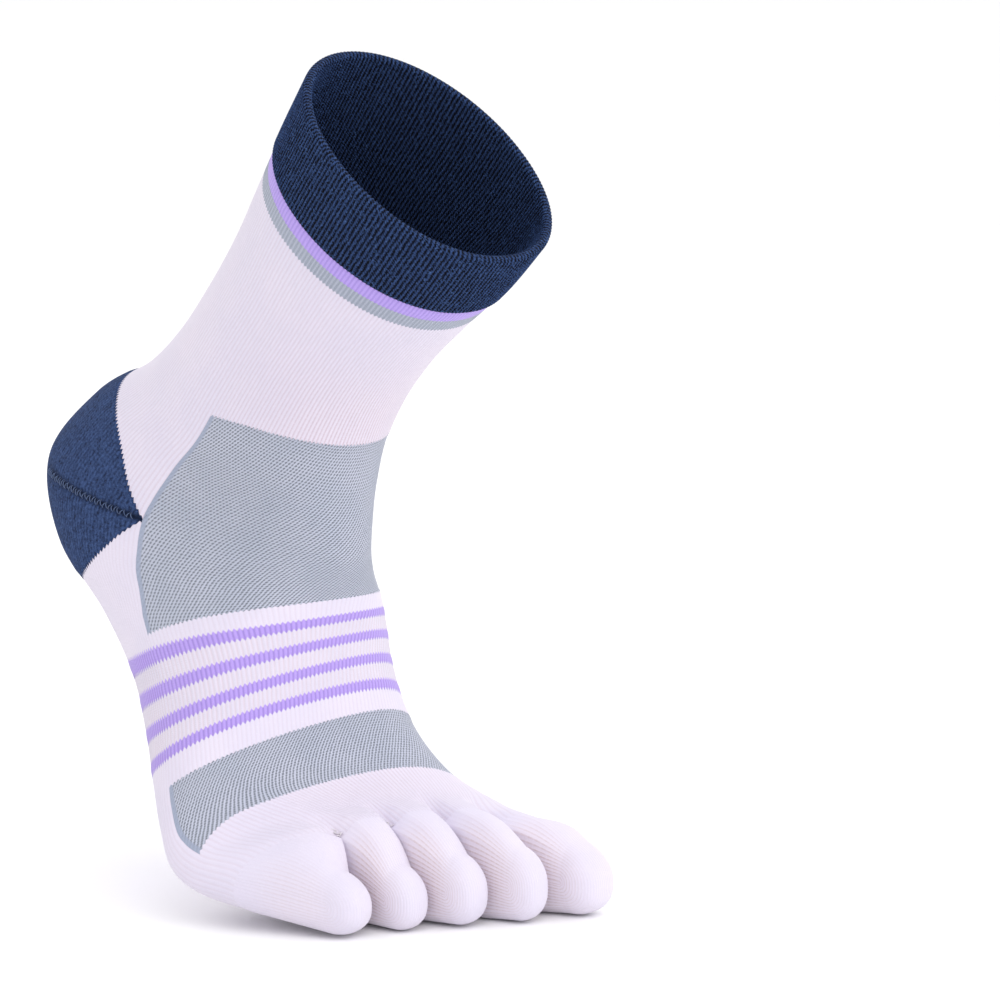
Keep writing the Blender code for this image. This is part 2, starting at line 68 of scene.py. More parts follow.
# Cross-sections from the mouth to the toe roots, in shares of the sizes above
# station, front x, front z, back x, back z, medial, lateral, widest, squareness, slope, skew
SECTIONS = (
    (0.000, 0.976, 0.874, 0.647, 1.126, 0.349, 0.349, 0.50, 2.0, 0.00, 0.00),
    (0.068, 0.906, 0.818, 0.591, 1.056, 0.343, 0.343, 0.50, 2.0, 0.00, 0.00),
    (0.143, 0.821, 0.763, 0.531, 0.980, 0.321, 0.321, 0.50, 2.0, 0.00, 0.00),
    (0.219, 0.744, 0.708, 0.468, 0.900, 0.301, 0.301, 0.50, 2.0, 0.00, 0.00),
    (0.279, 0.692, 0.655, 0.402, 0.830, 0.290, 0.290, 0.48, 2.0, 0.00, 0.00),
    (0.332, 0.660, 0.601, 0.327, 0.763, 0.282, 0.282, 0.46, 2.0, 0.00, 0.00),
    (0.385, 0.649, 0.545, 0.236, 0.706, 0.275, 0.277, 0.45, 2.0, 0.00, 0.00),
    (0.442, 0.650, 0.497, 0.109, 0.655, 0.270, 0.277, 0.45, 2.1, 0.00, 0.00),
    (0.494, 0.650, 0.462, 0.002, 0.565, 0.280, 0.290, 0.45, 2.2, 0.00, 0.00),
    (0.547, 0.645, 0.436, 0.052, 0.456, 0.306, 0.330, 0.44, 2.3, 0.00, 0.00),
    (0.600, 0.638, 0.408, 0.197, 0.367, 0.328, 0.370, 0.43, 2.4, 0.02, 0.00),
    (0.657, 0.631, 0.370, 0.304, 0.286, 0.335, 0.402, 0.42, 2.5, 0.05, -0.01),
    (0.717, 0.629, 0.324, 0.361, 0.211, 0.340, 0.430, 0.42, 2.6, 0.08, -0.02),
    (0.777, 0.635, 0.275, 0.414, 0.141, 0.358, 0.465, 0.39, 2.6, 0.12, 0.02),
    (0.838, 0.644, 0.226, 0.488, 0.077, 0.402, 0.505, 0.35, 2.7, 0.15, 0.09),
    (0.891, 0.667, 0.186, 0.566, 0.024, 0.456, 0.525, 0.32, 2.8, 0.16, 0.19),
    (0.943, 0.715, 0.159, 0.655, 0.003, 0.498, 0.518, 0.31, 3.0, 0.145, 0.32),
    (1.000, 0.779, 0.138, 0.758, 0.003, 0.486, 0.470, 0.34, 3.0, 0.08, 0.43),
)
# name, columns over the top, tip x, tip y, tip z, half width, half height
TOES = (
    ("little_toe", 5, 0.774, -0.281, 0.045, 0.076, 0.087),
    ("fourth_toe", 4, 0.809, -0.113, 0.044, 0.066, 0.090),
    ("third_toe", 4, 0.854, 0.034, 0.050, 0.067, 0.099),
    ("second_toe", 4, 0.900, 0.187, 0.052, 0.065, 0.104),
    ("big_toe", 5, 0.924, 0.370, 0.050, 0.085, 0.103),
)
CROTCHES = (-0.193, -0.060, 0.080, 0.210)
TOP_EXPONENT = 2.1
TOE_SPREAD_STATION = 0.84
LOBE_STATION = 0.945
LOBE_HEIGHT = 0.0016
LOBE_UNDER = 0.4
LOBE_VALLEY = 1.8
COLUMNS = 44                # columns round the tube, as the borders below count them
HALF = COLUMNS // 2
DOME_REACH = 1.15
DOME_BLUNTNESS = 0.65
TOE_FULLNESS = 0.80
TOE_MORPH = 1.0
TOE_ARCH = 0.0018
TIP_FALL = 0.36             # how steeply the top of a toe's tip bends down
TIP_UNDER = 0.1             # share of that at its underside
TOE_PULL = (0.3, 1, 1, 1, 1)    # how far each toe's sides are pulled open
INNER_PULL = 0.4            # share of that on a toe's side towards the big toe
TOE_STEPS = 34
DOME_STEPS = 14
WALL_SEGMENTS = 24          # vertices down the web between two toes
TOE_WALE = 0.00085
GIRTH_POINTS = 361
PROFILE_POINTS = 721
FLOOR_CLEARANCE = 0.0003

# Knit
FINE = 8                    # vertices round the tube for each column
ROUND = COLUMNS * FINE
COURSE = 0.00075            # from one row of loops to the next
SURFACE_STEPS = 360
LOOP_SLANT = 0.9
SHARP_ANGLE = radians(75)

# Borders of the knit, as in the source
VIOLET_TOP = CUFF_HEIGHT / SOCK_LENGTH
GREY_TOP = VIOLET_TOP + VIOLET_BAND_HEIGHT / SOCK_LENGTH
LEG_TOP = GREY_TOP + GREY_BAND_HEIGHT / SOCK_LENGTH
MESH_TOP_SIDE = 0.350
MESH_TOP_MIDDLE = 0.317
BACK_RISE = 0.5             # share of the rise between them that the back keeps
HEEL_TURN = 0.500
HEEL_TOP = 0.407
HEEL_BOTTOM = 0.581
HEEL_END = 0.005
HEEL_TOP_ROUNDING = 2.6
HEEL_BOTTOM_ROUNDING = 3.4
ANKLE_SPREAD = 0.15
ANKLE_ROUNDING = 4
MESH_BOTTOM_SIDE = 0.621
MESH_BOTTOM_MIDDLE = 0.593
FIRST_STRIPE = 0.635
STRIPE_SAG = (0.016, 0.009, 0.005, 0.004)
SAG_START = 0.5             # shares of the way from the instep to the sides
SAG_END = 1.3
TOE_MESH_TOP = 0.802
TOE_MESH_BOTTOM = 0.897
COURSE_TILT = 0.006
MESH_CORNER = 0.036
CORNER_COLUMNS = 3
BACK = 3 * COLUMNS // 4
FRONT = COLUMNS // 4
SIDE_REACH = 4              # columns beside the mesh that give way to its curved edge
MESH_EDGE = (
    (0.30, 1.5), (0.48, 1.5), (0.53, 1.25), (0.57, 0.8), (0.60, 0.2), (0.62, 0.1), (0.80, 0.5), (0.90, 0.8),
)
TOOTH = 0.00042             # how far loops of one colour reach into the next
TOOTH_ROOM = 0.002          # borders closer than this have smaller teeth

# Reliefs, in metres
LEG_RIB = 0.00005
VIOLET_RIB = 0.00005
VIOLET_LIFT = 0.0001
BAND_RIB = 0.00014
ARCH_RIB = 0.00008
FOOT_RIB = 0.00002
HEEL_LIFT = 0.0004
MESH_FIELD = 38.8           # wales from the mesh's middle to its plain side borders
MESH_SINK = -0.0002
STRIPE_LIFT = 0.00012
CUFF_LIFT = 0.0006
CUFF_RIB = 0.00042
LINING_DEPTH = 0.058        # how far down the navy inside reaches
LINING_OUTSIDE = 0.0017
CUFF_FINE = 16              # vertices round the cuff for each column
RIB_FINE = 4                # vertices round it for each rib
RIB_FULLNESS = 0.7
RIB_FADE = 0.0006           # above the bands, the ribs rise over this height
CUFF_SHOULDER = 0.0008      # and the cuff over this one
RIM_ROOM = 0.0012           # from the mouth's edge, where the welt turns over
CUFF_STEPS = (24, 9, 44, 6)     # along its profile: outside, rim, lining, back of the lining
LIFT_EDGE = 2               # cells over which a lifted field rises from its border
# columns beside a toe crotch, metres behind it, height
PUCKERS = (
    (-0.75, 0.0030, 0.00045),
    (0.55, 0.0038, 0.00035),
    (-0.10, 0.0062, 0.00030),
    (-0.05, 0.0012, -0.00050),
)
PUCKER_COLUMNS = 0.42       # half a pucker's width, in columns
PUCKER_LENGTH = 0.0016      # half its length
# station, reach and strength of the places over the front where the knit is pulled open
PULLED = ((0.30, 0.09, 0.8), (0.93, 0.06, 0.5))
PULLED_COLUMNS = 7
SEAM_DEPTH = 0.0007
SEAM_REACH = 0.0009
SEAM_STARTS = (0.25, 0.42)  # from here on, round from the middle of the back
# darker colour painted into the grooves as their shade, depth of the bump, how strong the grooves are, their
# width, how far skin shows
WHITE_KNITS = {
    "leg_white": ((0.55, 0.44, 0.52), 0.00012, 0.35, 0.45, 0.35),
    "foot_white": ((0.55, 0.45, 0.52), 0.00008, 0.18, 0.45, 0.35),
    "arch_white": ((0.60, 0.48, 0.54), 0.00018, 0.40, 0.45, 0.35),
    "toe_white": ((0.50, 0.36, 0.35), 0.00005, 0.02, 0.30, 0.7),
}

# Stitches: heights over the knit from end to end, and the thread's radius
GORE_STITCH = 0.0016
GORE_STITCHES = 38
GORE_START = 4.2            # columns from the middle of the heel's back to the seam's ends
GORE_END = 11.8
GORE_LEAN = 0.07
GORE_WANDER = 0.0006
GORE_HEIGHTS = (-0.0004, 0.0001, 0.0002, 0.0001, -0.0004)
GORE_THREAD = 0.00014
CROTCH_STITCHES = 4
CROTCH_START = 0.996
CROTCH_PITCH = 0.0040
CROTCH_REACH = 0.22
CROTCH_NARROWING = 0.04
CROTCH_LEAN = 0.0020
CROTCH_HEIGHTS = (-0.0003, 0.0002, 0.0, 0.0002, -0.0003)
CROTCH_THREAD = 0.00020
TOE_SEAM_STITCHES = 18
TOE_SEAM_START = 0.905
TOE_SEAM_END = 0.990
TOE_SEAM_COLUMN = 20.6
TOE_SEAM_LEAN = 0.0016
TOE_SEAM_REACH = 0.16
TOE_SEAM_HEIGHTS = (-0.0003, 0.0001, 0.00015, 0.0001, -0.0003)
TOE_SEAM_THREAD = 0.00016
RIM_THREAD = 0.00022
RIM_THREAD_DOWN = 0.0004    # its place below the mouth's edge and inside the outer face
RIM_THREAD_IN = 0.0011
THREAD_SIDES = 6
THREAD_END = 0.35           # radius of a stitch's ends, as a share of its middle's

# Stage
FLOOR = -STANCE_HEIGHT
FLOOR_REACH = 14
LIGHT_TARGET = (-0.04, 0, -0.10)
# name, place, size, power
LAMPS = (
    ("key", (1.1, -0.6, 1.2), 1.5, 7.0),
    ("side", (1.3, 0.5, 0.6), 1.2, 5.5),
    ("back", (-0.9, 0.8, 1.0), 1.0, 3.0),
)
SKY_STRENGTH = 1.03
CAMERA_TURN = radians(44.8)
CAMERA_PITCH = radians(8.0)
CAMERA_PLACE = (0.8601, -0.8389, 0.0748)
CAMERA_LENS = 160.7


def hermite(rows, stations):
    rows = np.asarray(rows, float)
    keys, values = rows[:, 0], rows[:, 1:]
    slopes = np.gradient(values, keys, axis=0)
    stations = np.atleast_1d(stations)
    i = np.clip(np.searchsorted(keys, stations) - 1, 0, len(keys) - 2)
    span = (keys[i + 1] - keys[i])[:, None]
    t = (stations - keys[i])[:, None] / span
    start = (2 * t**3 - 3 * t**2 + 1) * values[i] + (t**3 - 2 * t**2 + t) * span * slopes[i]
    end = (3 * t**2 - 2 * t**3) * values[i + 1] + (t**3 - t**2) * span * slopes[i + 1]
    return start + end


def smoothstep(low, high, value):
    t = np.clip((np.asarray(value) - low) / (high - low), 0, 1)
    return t * t * (3 - 2 * t)


MOUTH_X = STANCE_LENGTH * (SECTIONS[0][1] + SECTIONS[0][3]) / 2


def side_point(x_share, z_share):
    return np.array([STANCE_LENGTH * x_share - MOUTH_X, STANCE_HEIGHT * (z_share - 1)])


def crotch_columns():
    return np.cumsum([toe[1] for toe in TOES])[:-1] * FINE


def arc_shares(height, across, marks, blend):
    count = HALF * FINE
    length = np.r_[0, np.cumsum(np.hypot(np.diff(height), np.diff(across)))]
    length /= length[-1]
    even = np.linspace(0, 1, count + 1)
    if blend <= 0:
        return length, even
    order = np.argsort(across)
    at_marks = np.interp(marks, across[order], length[order])
    columns = crotch_columns()
    if across[0] > across[-1]:
        columns = count - columns
    knot_highlight = np.r_[0, np.sort(columns), count]
    target = np.interp(np.arange(count + 1), knot_highlight, np.r_[0, np.sort(at_marks), 1])
    return length, even * (1 - blend) + target * blend


def half_ring(front, back, medial, lateral, widest, squareness, slope, top, blend):
    low, high = (0, pi) if top else (pi, 2 * pi)
    angle = np.linspace(low, high, PROFILE_POINTS)
    depth = np.linalg.norm(front - back)
    level = depth * widest
    exponent = TOP_EXPONENT if top else squareness
    reach = (depth - level) if top else level
    rise = np.abs(np.sin(angle)) ** (2 / exponent)
    run = -np.cos(angle)
    run = np.sign(run) * np.abs(run) ** (2 / exponent)
    across = np.where(run > 0, medial, lateral) * run
    height = level + (reach if top else -reach) * rise
    if top:
        height = height + slope * across * rise
    length, shares = arc_shares(height, across, np.array(CROTCHES) * BALL_WIDTH, blend)
    return np.interp(shares, length, height), np.interp(shares, length, across)


def lobe_profile(top):
    """How far each vertex of one half stands out of the smooth section at the toe roots."""
    lobe = []
    counts = [toe[1] for toe in TOES]
    for number, count in enumerate(counts if top else counts[::-1]):
        share = np.arange(count * FINE) / (count * FINE)
        from_crotch = np.minimum(share + (number == 0), 1 - share + (number == len(TOES) - 1))
        valley = np.maximum(1 - from_crotch * count, 0)
        lobe.extend(np.sin(pi * share) - LOBE_VALLEY * valley)
    lobe.append(0)
    return LOBE_HEIGHT * np.array(lobe)


def ring(station):
    row = hermite(SECTIONS, station)[0]
    front, back = side_point(row[0], row[1]), side_point(row[2], row[3])
    medial, lateral = row[4] * BALL_WIDTH, row[5] * BALL_WIDTH
    widest, squareness, slope, skew = row[6:]
    up = (front - back) / np.linalg.norm(front - back)
    forward = np.array([up[1], -up[0]])
    blend = smoothstep(TOE_SPREAD_STATION, 1.0, station)
    points = []
    for top in (True, False):
        height, across = half_ring(front, back, medial, lateral, widest, squareness, slope, top, blend)
        if not top:
            across[0], across[-1] = medial, -lateral
        lobe = lobe_profile(top) * smoothstep(LOBE_STATION, 1.0, station)
        height = height + (lobe if top else -LOBE_UNDER * lobe)
        xz = back + np.outer(height, up) + np.outer(skew * across, forward)
        points.append(np.stack([xz[:, 0], across, xz[:, 1]], 1)[:-1])
    return np.vstack(points)


class Surface:
    """The sock's outer face from mouth to toe roots, read by arrays of station and column."""

    def __init__(self):
        self.table = np.array([ring(station) for station in np.linspace(0, 1, SURFACE_STEPS + 1)])
        along = np.gradient(self.table, axis=0)
        around = np.roll(self.table, -1, 1) - np.roll(self.table, 1, 1)
        normals = np.cross(along, around)
        self.normals = normals / np.linalg.norm(normals, axis=-1)[..., None]

    def read(self, table, station, column):
        row = np.clip(station, 0, 1) * SURFACE_STEPS
        low = np.minimum(row.astype(int), SURFACE_STEPS - 1)
        turn = np.asarray(column) * FINE
        left = np.floor(turn).astype(int)
        down, across = (row - low)[..., None], (turn - left)[..., None]
        left, right = left % ROUND, (left + 1) % ROUND
        upper = table[low, left] * (1 - across) + table[low, right] * across
        lower = table[low + 1, left] * (1 - across) + table[low + 1, right] * across
        return upper * (1 - down) + lower * down

    def point(self, station, column):
        return self.read(self.table, station, column)

    def normal(self, station, column):
        normal = self.read(self.normals, station, column)
        return normal / np.linalg.norm(normal, axis=-1)[..., None]


def back_distance(column):
    away = np.abs((column - BACK + HALF) % COLUMNS - HALF)
    return np.minimum(away / (FRONT + 1), 1)


def front_distance(column):
    return np.minimum(np.abs(column - FRONT) / (FRONT - 1), 1)


def is_instep(column):
    return (column >= 1) & (column <= HALF - 1)


def course_tilt(column):
    return COURSE_TILT * np.cos(2 * pi * column / COLUMNS)


def mesh_top(column):
    rise = MESH_TOP_SIDE - MESH_TOP_MIDDLE
    back = MESH_TOP_SIDE - BACK_RISE * rise * (1 - back_distance(column))
    return np.where(is_instep(column), MESH_TOP_SIDE - rise * (1 - front_distance(column) ** 2), back)


def heel_row(column, share):
    side = back_distance(column)
    top = HEEL_TURN - (HEEL_TURN - HEEL_TOP) * (1 - side ** HEEL_TOP_ROUNDING)
    bottom = HEEL_TURN + (HEEL_BOTTOM - HEEL_TURN) * (1 - side ** HEEL_BOTTOM_ROUNDING)
    top = np.minimum(top, HEEL_TURN - HEEL_END / 2)
    bottom = np.maximum(bottom, HEEL_TURN + HEEL_END / 2)
    reach = (HEEL_TURN - top) if share < 0.5 else (bottom - HEEL_TURN)
    station = HEEL_TURN + reach * (share * 2 - 1)
    even = HEEL_TURN + (share - 0.5) * ANKLE_SPREAD
    over = even + (station - even) * front_distance(column) ** ANKLE_ROUNDING
    return np.where(is_instep(column), over, station)


def mesh_bottom(column):
    rise = MESH_BOTTOM_SIDE - MESH_BOTTOM_MIDDLE
    over = MESH_BOTTOM_SIDE - rise * (1 - front_distance(column) ** 2)
    return np.where(is_instep(column), over, MESH_BOTTOM_SIDE)


def stripe_course(number, offset):
    """A course near one of the stripes, which runs further on round the sides and sole."""
    middle = FIRST_STRIPE + number * STRIPE_PITCH / SOCK_LENGTH + offset

    def course(column):
        away = np.abs((column - FRONT + HALF) % COLUMNS - HALF)
        return middle + STRIPE_SAG[number] * smoothstep(SAG_START * FRONT, SAG_END * FRONT, away)

    return course


def toe_mesh_top(column):
    return TOE_MESH_TOP + course_tilt(column)


def toe_mesh_bottom(column):
    near = np.maximum(1 - np.abs(column - 1) / CORNER_COLUMNS, 0)
    corner = np.where(column < FRONT, near ** 2, 0)
    return TOE_MESH_BOTTOM + course_tilt(column) + MESH_CORNER * corner


def knit_column(column, station):
    """Columns on the surface: those near the mesh panels follow their curved side edges."""
    edge = np.interp(station, [row[0] for row in MESH_EDGE], [row[1] for row in MESH_EDGE])
    centred = (column - FRONT + HALF) % COLUMNS - HALF
    away = np.abs(centred)
    inside = (FRONT - edge) * away / (FRONT - 1)
    outer = FRONT + SIDE_REACH
    beside = outer - (outer - away) * (outer - FRONT + edge) / (outer - FRONT + 1)
    away = np.where(away <= FRONT - 1, inside, np.where(away < outer, beside, away))
    return FRONT + np.sign(centred) * away


def border_rows():
    """Borders down the tube: name, station over the columns, rows of facets from the one before, teeth."""
    half = STRIPE_HEIGHT / SOCK_LENGTH / 2
    rows = [
        ("violet", lambda c: VIOLET_TOP + 0 * c, 1, 0.5),
        ("grey", lambda c: GREY_TOP + 0 * c, 5, 0.4),
        ("leg", lambda c: LEG_TOP + 0 * c, 5, 0.6),
        ("mesh_top", mesh_top, 52, 0.8),
        ("heel_top", lambda c: heel_row(c, 0), 24, 1),
        ("heel_seam", lambda c: heel_row(c, 0.5), 26, 0),
        ("heel_bottom", lambda c: heel_row(c, 1), 22, 1),
        ("mesh_bottom", mesh_bottom, 12, 1),
    ]
    for number in range(STRIPES):
        rows.append((f"stripe_{number}", stripe_course(number, -half), 4 if number == 0 else 6, 1.6))
        rows.append((f"stripe_{number}_end", stripe_course(number, half), 4, 1.6))
    rows += [
        ("toe_mesh", toe_mesh_top, 8, 1),
        ("toe_mesh_bottom", toe_mesh_bottom, 24, 1),
        ("toe_roots", lambda c: 1 + 0 * c, 27, 0),
    ]
    return rows


class Knit:
    """Vertices of the whole tube, from which each piece takes its own cells."""

    def __init__(self, surface):
        self.surface = surface
        turns = np.arange(ROUND) / FINE
        tooth = np.where(np.arange(ROUND) % 2 == 0, 1, -1) * TOOTH / SOCK_LENGTH
        self.named, rows, previous = {}, [], None
        for name, border, count, teeth in border_rows():
            station = border(turns)
            if previous is None:
                rows.append(station + tooth * teeth)
            else:
                shares = np.arange(1, count + 1) / count
                rows.extend(previous + (station - previous) * share for share in shares[:-1])
                rows.append(station + tooth * teeth * self.room(station, previous))
            self.named[name] = len(rows) - 1
            previous = station
        self.station = np.array(rows)
        self.column = knit_column(turns[None, :] + 0 * self.station, self.station)
        self.points = surface.point(self.station, self.column)
        self.normals = surface.normal(self.station, self.column)

    @staticmethod
    def room(station, previous):
        """Teeth shrink where two borders run together."""
        return np.clip((station - previous) * SOCK_LENGTH / TOOTH_ROOM, 0, 1)

    def mask(self, first, last, instep=None):
        cells = np.zeros((len(self.station) - 1, ROUND), bool)
        cells[self.named[first]:self.named[last]] = True
        if instep is not None:
            middle = (np.arange(ROUND) + 0.5) / FINE
            cells &= is_instep(middle)[None, :] == instep
        return cells

    @staticmethod
    def inside(cells, steps):
        """0 on the piece's border to 1 at so many cells inside, for each vertex."""
        full = cells.copy()
        depth = np.zeros((cells.shape[0] + 1, ROUND))
        for _ in range(steps):
            below, above = np.pad(full, ((0, 1), (0, 0))), np.pad(full, ((1, 0), (0, 0)))
            corner = below & above & np.roll(below, 1, 1) & np.roll(above, 1, 1)
            depth += corner
            full = corner[:-1] & corner[1:] & np.roll(corner, -1, 1)[:-1] & np.roll(corner, -1, 1)[1:]
        return smoothstep(0, steps, depth)


def new_object(name, data):
    made = bpy.data.objects.new(name, data)
    bpy.context.scene.collection.objects.link(made)
    return made


def add_piece(name, mesh, material):
    """The mesh as an object that rides on the sock's one body."""
    mesh.shade_smooth()
    mesh.materials.append(material)
    made = new_object(name, mesh)
    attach(made, "root")
    return made


def set_stretch(mesh, stretch):
    layer = mesh.attributes.new("stretch", "FLOAT", "POINT")
    layer.data.foreach_set("value", stretch)


def mesh_object(name, vertices, faces, uv, material, stretch):
    mesh = bpy.data.meshes.new(name)
    vertices = np.asarray(vertices, float)
    faces = np.asarray(faces, np.int32)
    mesh.vertices.add(len(vertices))
    mesh.vertices.foreach_set("co", vertices.ravel())
    mesh.loops.add(faces.size)
    mesh.loops.foreach_set("vertex_index", faces.ravel())
    mesh.polygons.add(len(faces))
    mesh.polygons.foreach_set("loop_start", np.arange(0, faces.size, faces.shape[1], dtype=np.int32))
    mesh.update(calc_edges=True)
    mesh.validate()
    mesh.uv_layers.new(name="knit").data.foreach_set("uv", np.asarray(uv, float).ravel())
    set_stretch(mesh, stretch)
    made = add_piece(name, mesh, material)
    mesh.set_sharp_from_angle(angle=SHARP_ANGLE)
    return made


def skin(knit, name, cells, wall, material, rib, lift, extra=0.0):
    """A piece of the tube as a closed wall, its wales raised and its field lifted inside its borders."""
    used = np.zeros((cells.shape[0] + 1, ROUND), bool)
    for down in (0, 1):
        for right in (0, 1):
            used[down:cells.shape[0] + down] |= np.roll(cells, right, 1)
    inside = Knit.inside(cells, LIFT_EDGE)
    ridge = np.where(np.arange(ROUND) % 2 == 0, 0.5, -0.5)[None, :]
    height = lift * inside + rib * ridge + extra
    outer = knit.points + knit.normals * height[..., None]
    inner = knit.points - knit.normals * wall
    index = np.cumsum(used.ravel()).reshape(used.shape) - 1
    total = int(used.sum())
    rows, columns = np.nonzero(cells)
    right = (columns + 1) % ROUND
    corners = ((rows, columns, 0), (rows, right, 1), (rows + 1, right, 1), (rows + 1, columns, 0))
    quads = np.stack([index[row, column] for row, column, _ in corners], 1)
    course = knit.station * SOCK_LENGTH / COURSE
    flat = np.stack(
        [np.stack([(columns + step) / 2, course[row, column]], 1) for row, column, step in corners], 1
    )
    faces, uvs = [quads, total + quads[:, ::-1]], [flat, flat[:, ::-1]]
    neighbours = (((-1, 0), 0, 1), ((0, 1), 1, 2), ((1, 0), 2, 3), ((0, -1), 3, 0))
    padded = np.pad(cells, ((1, 1), (0, 0)))
    for (down, across), first, last in neighbours:
        open_side = ~padded[rows + 1 + down, (columns + across) % ROUND]
        loop, loop_uv = quads[open_side], flat[open_side]
        start, end = loop[:, first], loop[:, last]
        faces.append(np.stack([end, start, total + start, total + end], 1))
        uvs.append(loop_uv[:, [last, first, first, last]])
    vertices = np.vstack([outer[used], inner[used]])
    stretch = stretch_field(knit)[used]
    return mesh_object(name, vertices, np.vstack(faces)[:, ::-1], np.vstack(uvs)[:, ::-1], material,
                       np.r_[stretch, stretch])


def stretch_field(knit):
    """Where the knit is pulled open: over the front of the ankle, the ball and the heel's seams."""
    front = np.exp(-((knit.column - FRONT) / PULLED_COLUMNS) ** 2)
    pulled = 0
    for middle, reach, strength in PULLED:
        pulled = pulled + strength * np.exp(-((knit.station - middle) / reach) ** 2)
    return np.clip(front * pulled + seam_line(knit), 0, 1)


def build_cuff(surface, material):
    """The ribbed welt, over the rim and down the inside, as one closed strip."""
    outside, over, within, under = CUFF_STEPS
    down = VIOLET_TOP - np.linspace(0, 1, outside) ** 1.3 * (VIOLET_TOP - RIM_ROOM / SOCK_LENGTH)
    outer = [(station, CUFF_LIFT * min(1, (VIOLET_TOP - station) * SOCK_LENGTH / CUFF_SHOULDER) ** 0.5)
             for station in down]
    radius = (CUFF_WALL + CUFF_LIFT) / 2
    middle = CUFF_LIFT - radius
    rim = [(RIM_ROOM * (1 - sin(turn)) / SOCK_LENGTH, middle + radius * cos(turn))
           for turn in np.linspace(0, pi, over)[1:-1]]
    inside = np.linspace(RIM_ROOM, LINING_DEPTH, within) / SOCK_LENGTH
    lining = [(station, -CUFF_WALL) for station in inside]
    back = [(station, -LINING_OUTSIDE) for station in np.linspace(inside[-1], VIOLET_TOP, under)]
    profile = np.array(outer + rim + lining + back)
    around = COLUMNS * CUFF_FINE
    phase = np.arange(around) / RIB_FINE
    rib = (0.5 - 0.5 * np.cos(2 * pi * phase)) ** RIB_FULLNESS
    levels = len(profile)
    station = np.repeat(profile[:, :1], around, 1)
    column = np.tile(np.arange(around) / CUFF_FINE, (levels, 1))
    points, normals = surface.point(station, column), surface.normal(station, column)
    count = np.r_[np.full(len(outer), 1.0), np.linspace(1, -1, len(rim)), np.full(len(lining), -1.0),
                  np.zeros(len(back))]
    fade = np.clip((VIOLET_TOP - profile[:, 0]) * SOCK_LENGTH / RIB_FADE, 0.3, 1)
    fade[len(outer):] = 1
    height = profile[:, 1][:, None] + (count * fade)[:, None] * CUFF_RIB * (rib[None, :] - 0.6)
    vertices = points + normals * height[..., None]
    rows, columns = np.meshgrid(np.arange(levels), np.arange(around), indexing="ij")
    below, right = (rows + 1) % levels, (columns + 1) % around
    corner = np.stack([rows * around + columns, rows * around + right, below * around + right,
                       below * around + columns], -1).reshape(-1, 4)
    steps = np.hypot(np.diff(profile[:, 0]) * SOCK_LENGTH, np.diff(profile[:, 1]))
    path = np.r_[0, np.cumsum(steps), np.sum(steps)] / COURSE
    uv = np.stack([np.stack([(columns + right) / RIB_FINE, path[rows + down]], -1)
                   for right, down in ((0, 0), (1, 0), (1, 1), (0, 1))], 2).reshape(-1, 4, 2)
    piece = mesh_object("cuff_rib_knit", vertices.reshape(-1, 3), corner, uv, material,
                        np.zeros(levels * around))
    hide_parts("cuff")


def toe_root(surface, number):
    """Fine ring where a toe leaves the tube: over the top, down one side, under, up the other."""
    counts = [toe[1] * FINE for toe in TOES]
    start = sum(counts[:number])
    end = start + counts[number]
    base = surface.table[-1]

    def wall(from_column, to_column):
        shares = np.linspace(0, 1, WALL_SEGMENTS + 1)[1:-1, None]
        return base[from_column % ROUND] * (1 - shares) + base[to_column % ROUND] * shares

    top = base[start:end + 1]
    under = base[[column % ROUND for column in range(ROUND - end, ROUND - start + 1)]]
    if number == 0:
        return np.vstack([top, wall(end, ROUND - end), under[:-1]])
    if number == len(TOES) - 1:
        return np.vstack([top, under[1:], wall(ROUND - start, start)])
    return np.vstack([top, wall(end, ROUND - end), under, wall(ROUND - start, start)])


def rounded(value):
    """The fuller curve of a toe's cross-section, from the sine or cosine of a circle."""
    return np.sign(value) * np.abs(value) ** TOE_FULLNESS


